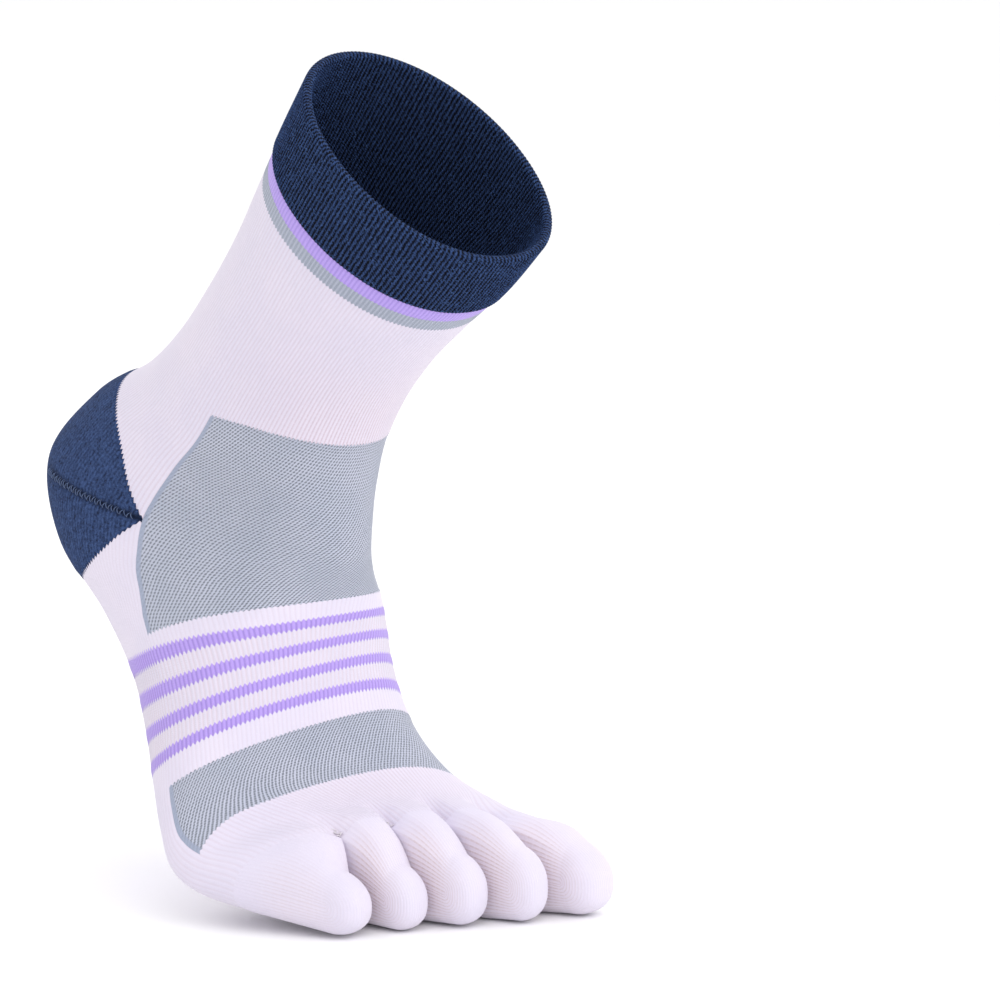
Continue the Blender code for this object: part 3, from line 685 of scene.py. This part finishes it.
def toe_rings(surface, number):
    """Rings of a toe from its root to near its tip, the tip's point, and the wale of each vertex."""
    tip_x, tip_y, tip_z, half_width, half_height = TOES[number][2:]
    root = toe_root(surface, number)
    middle = (root.min(0) + root.max(0)) / 2
    tip_side = side_point(tip_x, tip_z)
    tip = np.array([tip_side[0], tip_y * BALL_WIDTH, tip_side[1]])
    ahead = (tip - middle) * np.array([1, 1, 0])
    ahead /= np.linalg.norm(ahead)
    side, up = np.array([-ahead[1], ahead[0], 0]), np.array([0, 0, 1.0])
    width, height = half_width * BALL_WIDTH, half_height * BALL_WIDTH
    across, above = (root - middle) @ side, (root - middle) @ up
    angle = np.arctan2(above / np.ptp(above), across / np.ptp(across))
    round_shape = (np.outer(rounded(np.cos(angle)) * width, side)
                   + np.outer(rounded(np.sin(angle)) * height, up))
    turns = np.linspace(0, pi, GIRTH_POINTS)
    girth = np.hypot(np.diff(rounded(np.cos(turns)) * width), np.diff(rounded(np.sin(turns)) * height))
    girth = np.r_[0, np.cumsum(girth)]
    girth = 0.5 + girth / girth[-1] * round(girth[-1] / TOE_WALE)
    turned = np.abs(angle)
    turned[np.argmin(turned)], turned[np.argmax(turned)] = 0, pi
    rings, wales = [], []
    for share in np.linspace(0, 1, TOE_STEPS):
        turn = share ** TOE_MORPH
        arch = TOE_ARCH * sin(pi * share) * np.maximum(np.sin(angle), 0) ** 0.5
        rings.append(middle + (tip - middle) * share + (root - middle) * (1 - turn) + round_shape * turn
                     + arch[:, None] * up)
        wales.append(np.interp(turned, turns, girth))
    dome = DOME_REACH * width
    fall = TIP_FALL * (TIP_UNDER + (1 - TIP_UNDER) * (0.5 + 0.5 * np.sin(angle)))
    for lift in np.linspace(0, pi / 2, DOME_STEPS + 1)[1:-1]:
        rings.append(tip + dome * sin(lift) * (ahead - fall[:, None] * up)
                     + round_shape * cos(lift) ** DOME_BLUNTNESS)
        over = rounded(np.cos(turned)) * cos(lift) ** DOME_BLUNTNESS
        over = np.sign(over) * np.minimum(np.abs(over) ** (1 / TOE_FULLNESS), 1)
        wales.append(np.interp(np.arccos(over), turns, girth))
    rings = np.array(rings)
    rings[..., 2] = np.maximum(rings[..., 2], FLOOR_CLEARANCE + FLOOR)
    point = tip + dome * (ahead - TIP_FALL * (1 + TIP_UNDER) / 2 * up)
    return rings, point, angle, np.array(wales), girth[GIRTH_POINTS // 2]


def build_toe(surface, number, material):
    """One toe pocket as a closed skin. Its wales run over the tip from the top to the underside."""
    name = TOES[number][0]
    rings, point, angle, wales, middle_wale = toe_rings(surface, number)
    levels, count = rings.shape[:2]
    around = np.roll(rings, -1, 1) - np.roll(rings, 1, 1)
    normals = np.cross(np.gradient(rings, axis=0), around)
    normals /= np.maximum(np.linalg.norm(normals, axis=-1)[..., None], 1e-12)
    outward = np.sign(((rings - rings.mean(1, keepdims=True)) * normals).sum(-1).mean())
    inner = rings - normals * outward * TOE_WALL
    ahead = point - rings[-1].mean(0)
    ahead /= np.linalg.norm(ahead)
    vertices = np.vstack([rings.reshape(-1, 3), inner.reshape(-1, 3), [point], [point - ahead * TOE_WALL]])
    length = np.r_[0, np.cumsum(np.linalg.norm(np.diff(rings.mean(1), axis=0), axis=1))] / COURSE
    flat = np.stack([wales, np.repeat(length[:, None], count, 1)], -1).reshape(-1, 2)
    flat = np.vstack([flat, flat, np.repeat([[middle_wale, length[-1] + 0.5]], 2, 0)])
    share = np.linspace(0, 1, levels)
    pulled = np.outer(smoothstep(0.02, 0.4, share) * smoothstep(0.95, 0.55, share),
                      np.cos(angle) ** 2 * np.where(np.cos(angle) > 0, INNER_PULL, 1))
    stretch = TOE_PULL[number] * np.r_[pulled.ravel(), pulled.ravel(), 0, 0]
    total, last = levels * count, (levels - 1) * count
    faces = []
    for column in range(count):
        right = (column + 1) % count
        for row in range(levels - 1):
            near, far = row * count, (row + 1) * count
            loop = (near + column, near + right, far + right, far + column)
            faces += [loop, tuple(total + corner for corner in reversed(loop))]
        faces.append((last + column, last + right, 2 * total))
        faces.append((total + last + right, total + last + column, 2 * total + 1))
        faces.append((right, column, total + column, total + right))
    if outward < 0:
        faces = [face[::-1] for face in faces]
    mesh = bpy.data.meshes.new(name + "_knit")
    mesh.from_pydata([tuple(vertex) for vertex in vertices], [], faces)
    corners = np.zeros(len(mesh.loops), np.int32)
    mesh.loops.foreach_get("vertex_index", corners)
    mesh.uv_layers.new(name="knit").data.foreach_set("uv", flat[corners].ravel())
    set_stretch(mesh, stretch)
    made = add_piece(name + "_knit", mesh, material)
    mesh.set_sharp_from_angle(angle=SHARP_ANGLE)
    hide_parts(name)


class Nodes:
    """A material's node tree with short calls for its maths."""

    def __init__(self, name):
        self.material = bpy.data.materials.new(name)
        self.material.use_nodes = True
        self.tree = self.material.node_tree
        self.shader = self.tree.nodes["Principled BSDF"]
        uv = self.tree.nodes.new("ShaderNodeUVMap")
        uv.uv_map = "knit"
        split = self.tree.nodes.new("ShaderNodeSeparateXYZ")
        self.tree.links.new(uv.outputs["UV"], split.inputs[0])
        self.u, self.v = split.outputs["X"], split.outputs["Y"]

    def join(self, value, socket):
        if isinstance(value, bpy.types.NodeSocket):
            self.tree.links.new(value, socket)
        else:
            socket.default_value = value

    def maths(self, operation, *values):
        node = self.tree.nodes.new("ShaderNodeMath")
        node.operation = operation
        for number, value in enumerate(values):
            self.join(value, node.inputs[number])
        return node.outputs[0]

    def add(self, first, second):
        return self.maths("ADD", first, second)

    def times(self, first, second):
        return self.maths("MULTIPLY", first, second)

    def wave(self, phase):
        """0 to 1 and back for each whole step of the phase, 1 in its middle."""
        turned = self.maths("COSINE", self.times(phase, 2 * pi))
        return self.add(0.5, self.times(turned, -0.5))

    def centred(self, phase):
        return self.add(self.maths("FRACT", phase), -0.5)

    def ramp(self, value, low, high, start=0.0, end=1.0):
        node = self.tree.nodes.new("ShaderNodeMapRange")
        node.interpolation_type = "SMOOTHSTEP"
        for number, item in enumerate((value, low, high, start, end)):
            self.join(item, node.inputs[number])
        return node.outputs[0]

    def mix(self, factor, first, second):
        node = self.tree.nodes.new("ShaderNodeMix")
        node.data_type = "RGBA"
        self.join(factor, node.inputs["Factor"])
        for value, socket in ((first, node.inputs[6]), (second, node.inputs[7])):
            self.join((*value, 1) if isinstance(value, tuple) else value, socket)
        return node.outputs[2]

    def noise(self, scale, detail=2.0, roughness=0.5):
        place = self.tree.nodes.new("ShaderNodeTexCoord")
        node = self.tree.nodes.new("ShaderNodeTexNoise")
        node.inputs["Scale"].default_value = scale
        node.inputs["Detail"].default_value = detail
        node.inputs["Roughness"].default_value = roughness
        self.tree.links.new(place.outputs["Object"], node.inputs["Vector"])
        return node.outputs["Fac"]

    def fibred(self, fibres, colour, pale, share=0.3):
        """The colour with its loose fibres in a paler one."""
        return self.mix(self.ramp(fibres, 0.55, 0.8, 0, share), colour, pale)

    def stretch(self):
        node = self.tree.nodes.new("ShaderNodeAttribute")
        node.attribute_name = "stretch"
        return node.outputs["Fac"]

    def finish(self, colour, height, depth, roughness=0.9, sheen=0.15, strength=1.0):
        self.join(colour, self.shader.inputs["Base Color"])
        self.shader.inputs["Roughness"].default_value = roughness
        self.shader.inputs["Specular IOR Level"].default_value = 0.15
        self.shader.inputs["Sheen Weight"].default_value = sheen
        self.shader.inputs["Sheen Roughness"].default_value = 0.6
        bump = self.tree.nodes.new("ShaderNodeBump")
        bump.inputs["Strength"].default_value = strength
        bump.inputs["Distance"].default_value = depth
        self.tree.links.new(height, bump.inputs["Height"])
        self.tree.links.new(bump.outputs["Normal"], self.shader.inputs["Normal"])
        return self.material


def loops(nodes):
    """Plain knit: the height of its wales of V-shaped loops."""
    off = nodes.centred(nodes.u)
    away = nodes.maths("ABSOLUTE", off)
    wale = nodes.wave(nodes.u)
    thread = nodes.wave(nodes.add(nodes.v, nodes.times(away, LOOP_SLANT)))
    return nodes.times(wale, nodes.add(0.62, nodes.times(thread, 0.38)))


def white_knit(name):
    """Lilac white, pinker where it is pulled open, with painted shade in the grooves between its wales,
    stronger where the knit is pulled open.
    """
    groove_shade, rib_depth, groove_share, groove_width, skin_share = WHITE_KNITS[name]
    nodes = Nodes(name)
    height = loops(nodes)
    fibres = nodes.noise(2600, 2, 0.7)
    patches = nodes.noise(38, 3, 0.6)
    base = nodes.mix(nodes.ramp(patches, 0.35, 0.7), (0.665, 0.62, 0.745), (0.70, 0.645, 0.76))
    pulled = nodes.stretch()
    base = nodes.mix(nodes.times(pulled, skin_share), base, (0.70, 0.60, 0.66))
    # Painted shade: the grooves between the wales, and the rungs where the knit is pulled open, take the
    # darker groove colour.
    open_part = nodes.ramp(height, groove_width, 0.05)
    rungs = nodes.add(0.65, nodes.times(nodes.wave(nodes.times(nodes.v, 0.5)), 0.35))
    ladder = nodes.times(nodes.times(pulled, rungs), 0.7)
    strength = nodes.times(open_part, nodes.add(groove_share, ladder))
    colour = nodes.mix(nodes.maths("MINIMUM", strength, 0.95), base, groove_shade)
    colour = nodes.fibred(fibres, colour, (0.84, 0.80, 0.90), 0.35)
    rough = nodes.add(height, nodes.times(fibres, 0.5))
    return nodes.finish(colour, rough, rib_depth, 0.95, 0.3)


def navy_rib():
    """Twisted ribs, their crests painted lighter and the slits between them painted dark as painted light and
    shade, with pale loose fibres; the stitches are uneven.
    """
    nodes = Nodes("navy_rib")
    uneven = nodes.add(nodes.noise(420, 2, 0.6), -0.5)
    wale = nodes.wave(nodes.add(nodes.u, nodes.times(uneven, 0.6)))
    turned = nodes.add(nodes.times(nodes.v, 0.9), nodes.times(nodes.u, 1.0))
    strand = nodes.wave(nodes.add(turned, nodes.times(uneven, 2.0)))
    fibres = nodes.noise(1500, 4, 0.8)
    height = nodes.add(nodes.times(wale, 0.6), nodes.times(strand, 0.4))
    # Painted light and shade: the rib crests take the lit tone and the slits between them the dark one, by
    # height.
    dark, light = (0.0012, 0.002, 0.008), (0.031, 0.064, 0.180)
    tone = nodes.add(height, nodes.times(nodes.add(fibres, -0.5), 1.3))
    colour = nodes.mix(nodes.ramp(tone, 0.22, 0.88), dark, light)
    colour = nodes.mix(nodes.ramp(fibres, 0.55, 0.68, 0, 0.85), colour, (0.080, 0.155, 0.37))
    rough = nodes.add(height, nodes.times(fibres, 1.2))
    return nodes.finish(colour, rough, 0.0004, 0.95, 0.0)


def navy_terry():
    """The heel's uneven terry, dark along its seams, with slight painted shade between its loops."""
    nodes = Nodes("navy_terry")
    height = loops(nodes)
    fibres = nodes.noise(1300, 4, 0.8)
    clumps = nodes.noise(520, 2, 0.6)
    dark, light = (0.003, 0.006, 0.022), (0.054, 0.098, 0.25)
    fluff = nodes.add(nodes.times(fibres, 1.1), nodes.times(clumps, 0.35))
    # Slight painted shade: the loops a little darker in their grooves and lighter on their crests, by height.
    tone = nodes.add(nodes.times(height, 0.13), fluff)
    colour = nodes.mix(nodes.ramp(tone, 0.45, 1.05), dark, light)
    colour = nodes.mix(nodes.times(nodes.stretch(), 0.85), colour, dark)
    return nodes.finish(colour, tone, 0.0005, 0.95, 0.0)


def violet_knit(name, ribbed):
    """Violet, with painted shade in its grooves, darker in the stripes than in the band under the cuff."""
    nodes = Nodes(name)
    height = loops(nodes)
    fibres = nodes.noise(2400, 2, 0.7)
    low = (0.33, 0.235, 0.63) if ribbed else (0.35, 0.25, 0.66)
    # Painted shade: the loops darker in their grooves and lighter on their crests, by height.
    colour = nodes.mix(nodes.ramp(height, 0.05, 0.55), low, (0.44, 0.315, 0.77))
    colour = nodes.fibred(fibres, colour, (0.60, 0.47, 0.90))
    return nodes.finish(colour, nodes.add(height, nodes.times(fibres, 0.4)), 0.00014, 0.9, 0.2)


def grey_rib():
    """The grey band under the cuff, with shade painted between its ribs and their crests painted lighter."""
    nodes = Nodes("grey_rib")
    height = loops(nodes)
    fibres = nodes.noise(2400, 2, 0.7)
    # Painted light and shade: the ribs lighter on their crests and darker between them, by height.
    colour = nodes.mix(nodes.ramp(height, 0.1, 0.6), (0.31, 0.34, 0.42), (0.42, 0.45, 0.55))
    colour = nodes.fibred(fibres, colour, (0.55, 0.60, 0.65))
    return nodes.finish(colour, height, 0.0003, 0.9, 0.15)


def grey_mesh():
    """Tuck-stitch mesh: slanted grains in staggered rows with small holes between them, drawn only as colour
    and painted dark as the shade inside them, and a painted highlight on the knots between the holes.
    """
    nodes = Nodes("grey_mesh")
    rows = nodes.times(nodes.v, 0.72)
    step = nodes.times(nodes.maths("MODULO", nodes.maths("FLOOR", rows), 2.0), 0.5)
    uneven = nodes.times(nodes.add(nodes.noise(700, 2, 0.6), -0.5), 0.5)
    across = nodes.centred(nodes.add(nodes.add(nodes.times(nodes.u, 1.25), step), uneven))
    down = nodes.centred(rows)
    lean = nodes.add(across, nodes.times(down, 0.45))
    hole = nodes.add(nodes.maths("POWER", nodes.times(lean, 3.6), 2.0),
                     nodes.maths("POWER", nodes.times(down, 2.4), 2.0))
    grain = nodes.ramp(hole, 0.15, 1.25)
    fibres = nodes.noise(2400, 2, 0.7)
    patches = nodes.noise(60, 3, 0.6)
    light = nodes.mix(nodes.ramp(patches, 0.3, 0.7), (0.40, 0.43, 0.53), (0.45, 0.47, 0.57))
    from_middle = nodes.maths("ABSOLUTE", nodes.add(nodes.u, -FRONT * FINE / 2))
    edge = nodes.ramp(from_middle, MESH_FIELD, MESH_FIELD + 0.4)
    grain = nodes.maths("MAXIMUM", grain, nodes.times(edge, 0.8))
    light = nodes.mix(nodes.times(edge, 0.8), light, (0.30, 0.34, 0.46))
    # Painted shade: the real holes are colour only, dark as the shade inside them.
    colour = nodes.mix(grain, (0.21, 0.23, 0.28), light)
    # Painted highlight on the raised knots between the holes, none on the plain side borders.
    knot_highlight = nodes.times(nodes.ramp(hole, 1.3, 2.6), nodes.add(1.0, nodes.times(edge, -1.0)))
    colour = nodes.mix(nodes.times(knot_highlight, 0.3), colour, (0.56, 0.58, 0.69))
    colour = nodes.fibred(fibres, colour, (0.60, 0.64, 0.70))
    return nodes.finish(colour, nodes.add(grain, nodes.times(fibres, 0.3)), 0.0003, 0.9, 0.2)


def thread(name, colour):
    """A loose thread of one colour, uneven along its fibres."""
    nodes = Nodes(name)
    fibres = nodes.noise(3000, 2, 0.7)
    darker = tuple(channel * 0.6 for channel in colour)
    return nodes.finish(nodes.mix(fibres, darker, colour), fibres, 0.0001, 0.9, 0.2)


def seam_line(knit):
    """1 on the heel's gore seams, which run along its turn on both sides, to 0 beside them."""
    away = (knit.station - HEEL_TURN) * SOCK_LENGTH / SEAM_REACH
    return np.exp(-away ** 2) * smoothstep(*SEAM_STARTS, back_distance(knit.column))


def puckers(knit):
    """Small mounds of gathered knit behind the places where two toes part."""
    behind = (1 - knit.station) * SOCK_LENGTH
    raised = np.zeros_like(knit.station)
    for crotch in crotch_columns() / FINE:
        for aside, back, size in PUCKERS:
            across = (knit.column - crotch - aside) / PUCKER_COLUMNS
            along = (behind - back) / PUCKER_LENGTH
            raised += size * np.exp(-(across ** 2 + along ** 2))
    return raised


def build_body(knit):
    leg_white, foot_white, arch_white = map(white_knit, ("leg_white", "foot_white", "arch_white"))
    band, stripe = violet_knit("violet_band", False), violet_knit("violet_stripe", True)
    last = f"stripe_{STRIPES - 1}_end"
    leg = knit.mask("leg", "mesh_top") | knit.mask("mesh_top", "heel_top", False)
    sole = knit.mask("heel_bottom", "mesh_bottom", False) | knit.mask("mesh_bottom", "stripe_0")
    toe_mesh_cells = knit.mask("toe_mesh", "toe_mesh_bottom", True)
    as_mesh = (MESH_WALL, grey_mesh(), "grey_mesh", 0.0, MESH_SINK)
    pieces = [
        ("cuff_violet_band", knit.mask("violet", "grey"), BAND_WALL, band, "violet_knit", VIOLET_RIB,
         VIOLET_LIFT),
        ("cuff_grey_band", knit.mask("grey", "leg"), BAND_WALL, grey_rib(), "grey_knit", BAND_RIB, 0.0),
        ("leg", leg, LEG_WALL, leg_white, "lilac_white_knit", LEG_RIB, 0.0),
        ("heel", knit.mask("heel_top", "heel_bottom", False), HEEL_WALL, navy_terry(), "navy_terry", 0.0,
         HEEL_LIFT, -SEAM_DEPTH * seam_line(knit)),
        ("instep_mesh", knit.mask("mesh_top", "mesh_bottom", True), *as_mesh),
        ("sole", sole, SOLE_WALL, foot_white, "lilac_white_knit", FOOT_RIB, 0.0),
        ("forefoot", knit.mask(last, "toe_roots") & ~toe_mesh_cells, TOE_WALL, foot_white,
         "lilac_white_knit", FOOT_RIB, 0.0, puckers(knit)),
        ("forefoot_mesh", toe_mesh_cells, *as_mesh),
    ]
    for number in range(STRIPES):
        cells = knit.mask(f"stripe_{number}", f"stripe_{number}_end")
        pieces.append((f"arch_stripe_{number + 1}", cells, BAND_WALL, stripe, "violet_knit", ARCH_RIB,
                       STRIPE_LIFT))
    for number in range(STRIPES - 1):
        cells = knit.mask(f"stripe_{number}_end", f"stripe_{number + 1}")
        pieces.append((f"arch_band_{number + 1}", cells, BAND_WALL, arch_white, "lilac_white_knit", ARCH_RIB,
                       0.0))
    for node, cells, wall, material, slot, *relief in pieces:
        piece = skin(knit, f"{node}_knit", cells, wall, material, *relief)
        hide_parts(node)


def tube(points, radius, side):
    """Vertices and faces of one thread, with narrower ends, or closed into a ring that faces a side."""
    points, count, sides = np.asarray(points, float), len(points), THREAD_SIDES
    closed = side is not None
    along = np.roll(points, -1, 0) - np.roll(points, 1, 0) if closed else np.gradient(points, axis=0)
    along /= np.linalg.norm(along, axis=1)[:, None]
    if not closed:
        side = np.cross(along, (0, 0, 1) if abs(along[0, 2]) < 0.9 else (1, 0, 0))
        side /= np.linalg.norm(side, axis=1)[:, None]
    other = np.cross(along, side)
    turns = np.linspace(0, 2 * pi, sides, endpoint=False)
    shape = np.ones(count)
    if not closed:
        shape[0] = shape[-1] = THREAD_END
    rings = points[:, None] + radius * shape[:, None, None] * (
        np.cos(turns)[None, :, None] * side[:, None] + np.sin(turns)[None, :, None] * other[:, None])
    faces = []
    for row in range(count if closed else count - 1):
        near, far = row * sides, (row + 1) % count * sides
        for column in range(sides):
            right = (column + 1) % sides
            faces.append((near + column, near + right, far + right, far + column))
    if not closed:
        faces.append(tuple(range(sides - 1, -1, -1)))
        faces.append(tuple((count - 1) * sides + column for column in range(sides)))
    return rings.reshape(-1, 3), faces


def threads_object(name, paths, radius, material, side=None):
    vertices, faces, total = [], [], 0
    for path in paths:
        part, loop = tube(path, radius, side)
        vertices.append(part)
        faces.extend(tuple(corner + total for corner in face) for face in loop)
        total += len(part)
    mesh = bpy.data.meshes.new(name)
    mesh.from_pydata([tuple(vertex) for vertex in np.vstack(vertices)], [], faces)
    mesh.uv_layers.new(name="knit")
    add_piece(name, mesh, material)


def on_surface(surface, places):
    """Points over the outer face from station, column and height."""
    places = np.asarray(places, float)
    points = surface.point(places[:, 0], places[:, 1])
    return points + surface.normal(places[:, 0], places[:, 1]) * places[:, 2:]


def stitch(surface, station, column, along, across, heights, lift=0.0):
    """A stitch's path: so far either way along and across the knit, dipping into it at both ends."""
    rows = np.linspace(-1, 1, len(heights))
    return on_surface(surface, [
        (station + along * row, column + across * row, lift + height) for row, height in zip(rows, heights)])


def gore_seams(surface, material):
    """Two rows of crossed stitches along the heel's turn, one on each side."""
    paths = []
    for side in (1, -1):
        for number, away in enumerate(np.linspace(GORE_START, GORE_END, GORE_STITCHES)):
            lean = side * GORE_LEAN * (1 if number % 2 else -1)
            station = HEEL_TURN + GORE_WANDER * sin(number * 2.3)
            paths.append(stitch(surface, station, BACK + side * away, GORE_STITCH / SOCK_LENGTH / 2, lean,
                                GORE_HEIGHTS, HEEL_LIFT))
    threads_object("heel_gore_stitches", paths, GORE_THREAD, material)


def crotch_stitches(surface, material):
    """Short stitches that close the knit where two toes part."""
    paths = []
    for number, crotch in enumerate(crotch_columns() / FINE):
        for step in range(CROTCH_STITCHES):
            station, reach = CROTCH_START - CROTCH_PITCH * step, CROTCH_REACH - CROTCH_NARROWING * step
            lean = CROTCH_LEAN * (1 if (step + number) % 2 else -1)
            paths.append(stitch(surface, station, crotch, lean, reach, CROTCH_HEIGHTS))
    threads_object("toe_root_stitches", paths, CROTCH_THREAD, material)


def rim_thread(surface, material):
    """The thin elastic thread inside the welt, along the mouth's edge."""
    around = np.linspace(0, COLUMNS, ROUND, endpoint=False)
    station = RIM_THREAD_DOWN / SOCK_LENGTH
    path = on_surface(surface, [(station, column, -RIM_THREAD_IN) for column in around])
    outward = surface.normal(np.zeros(ROUND), around)
    threads_object("cuff_rim_thread", [path], RIM_THREAD, material, outward)


def big_toe_seam(surface, material):
    """The row of slanted stitches behind the big toe, on its outer side."""
    stations = np.linspace(TOE_SEAM_START, TOE_SEAM_END, TOE_SEAM_STITCHES)
    paths = [stitch(surface, station, TOE_SEAM_COLUMN, TOE_SEAM_LEAN, TOE_SEAM_REACH, TOE_SEAM_HEIGHTS)
             for station in stations]
    threads_object("big_toe_seam_stitches", paths, TOE_SEAM_THREAD, material)


def stage_and_light():
    scene = bpy.context.scene
    scene.view_settings.view_transform = "Standard"
    mesh = bpy.data.meshes.new("studio_floor")
    corners = ((-1, -1), (1, -1), (1, 1), (-1, 1))
    mesh.from_pydata([(FLOOR_REACH * x, FLOOR_REACH * y, FLOOR) for x, y in corners], [], [(0, 1, 2, 3)])
    floor = new_object("studio_floor", mesh)
    paint = bpy.data.materials.new("studio_floor")
    paint.use_nodes = True
    shader = paint.node_tree.nodes["Principled BSDF"]
    shader.inputs["Base Color"].default_value = (0.98, 0.98, 0.98, 1)
    shader.inputs["Roughness"].default_value = 0.8
    shader.inputs["Specular IOR Level"].default_value = 0.1
    mesh.materials.append(paint)
    world = bpy.data.worlds.new("studio")
    scene.world = world
    world.use_nodes = True
    sky = world.node_tree.nodes["Background"]
    sky.inputs["Color"].default_value = (1.0, 1.0, 1.0, 1)
    sky.inputs["Strength"].default_value = SKY_STRENGTH
    for name, place, size, power in LAMPS:
        light = bpy.data.lights.new(name, "AREA")
        light.size = size
        light.energy = power
        lamp = new_object(name, light)
        lamp.location = place
        aim = Vector(LIGHT_TARGET) - Vector(place)
        lamp.rotation_euler = aim.to_track_quat("-Z", "Y").to_euler()


def add_camera():
    turn, pitch = CAMERA_TURN, CAMERA_PITCH
    forward = Vector((-sin(turn) * cos(pitch), cos(turn) * cos(pitch), -sin(pitch)))
    right = Vector((cos(turn), sin(turn), 0))
    up = right.cross(forward)
    data = bpy.data.cameras.new("camera")
    data.sensor_width = 36
    data.lens = CAMERA_LENS
    camera = new_object("camera", data)
    rotation = Matrix((right, up, -forward)).transposed().to_4x4()
    camera.matrix_world = Matrix.Translation(CAMERA_PLACE) @ rotation
    bpy.context.scene.camera = camera


def main():
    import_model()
    add_camera()
    stage_and_light()
    surface = Surface()
    knit = Knit(surface)
    build_cuff(surface, navy_rib())
    build_body(knit)
    toe_white = white_knit("toe_white")
    for number in range(len(TOES)):
        build_toe(surface, number, toe_white)
    gore_seams(surface, thread("navy_thread", (0.10, 0.155, 0.31)))
    crotch_stitches(surface, thread("white_thread", (0.86, 0.80, 0.86)))
    rim_thread(surface, thread("rim_thread", (0.12, 0.075, 0.06)))
    big_toe_seam(surface, thread("toe_seam_thread", (0.82, 0.74, 0.80)))


main()
